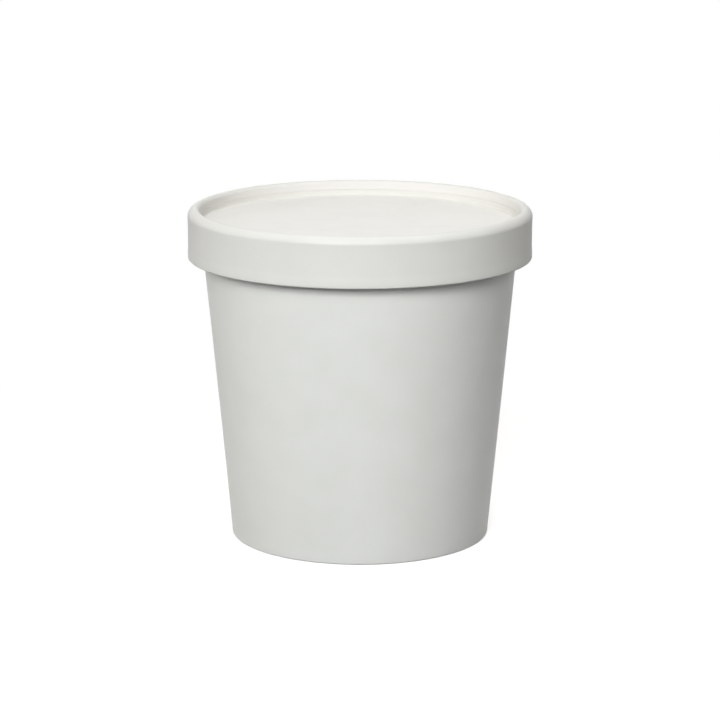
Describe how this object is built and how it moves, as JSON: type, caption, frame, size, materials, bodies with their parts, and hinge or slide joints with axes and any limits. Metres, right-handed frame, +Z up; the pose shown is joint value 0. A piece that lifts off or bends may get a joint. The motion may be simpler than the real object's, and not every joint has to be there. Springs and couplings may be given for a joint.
{
  "type": "paper soup container",
  "caption": "Shut round paper container for soup: tapered wall with a glued side lap, hemmed foot, and a pressed-on paper lid with a rolled rim and a sunk panel.",
  "frame": {"origin": "middle of the foot, on the surface that the container stands on", "axes": "+Z up along the container's axis; the wall's glued lap is at the back, towards +Y, and the lid's is at the back left"},
  "size_m": [0.102, 0.102, 0.099],
  "materials": {
    "cup_board": "satin coated white board",
    "base_board": "satin coated white board",
    "lid_board": "semi-gloss coated white board",
    "panel_board": "satin coated white board"
  },
  "bodies": {
    "root": {"cup": "cup_board", "base_disc": "base_board", "lid_band": "lid_board", "lid_disc": "panel_board"}
  },
  "joints": []
}
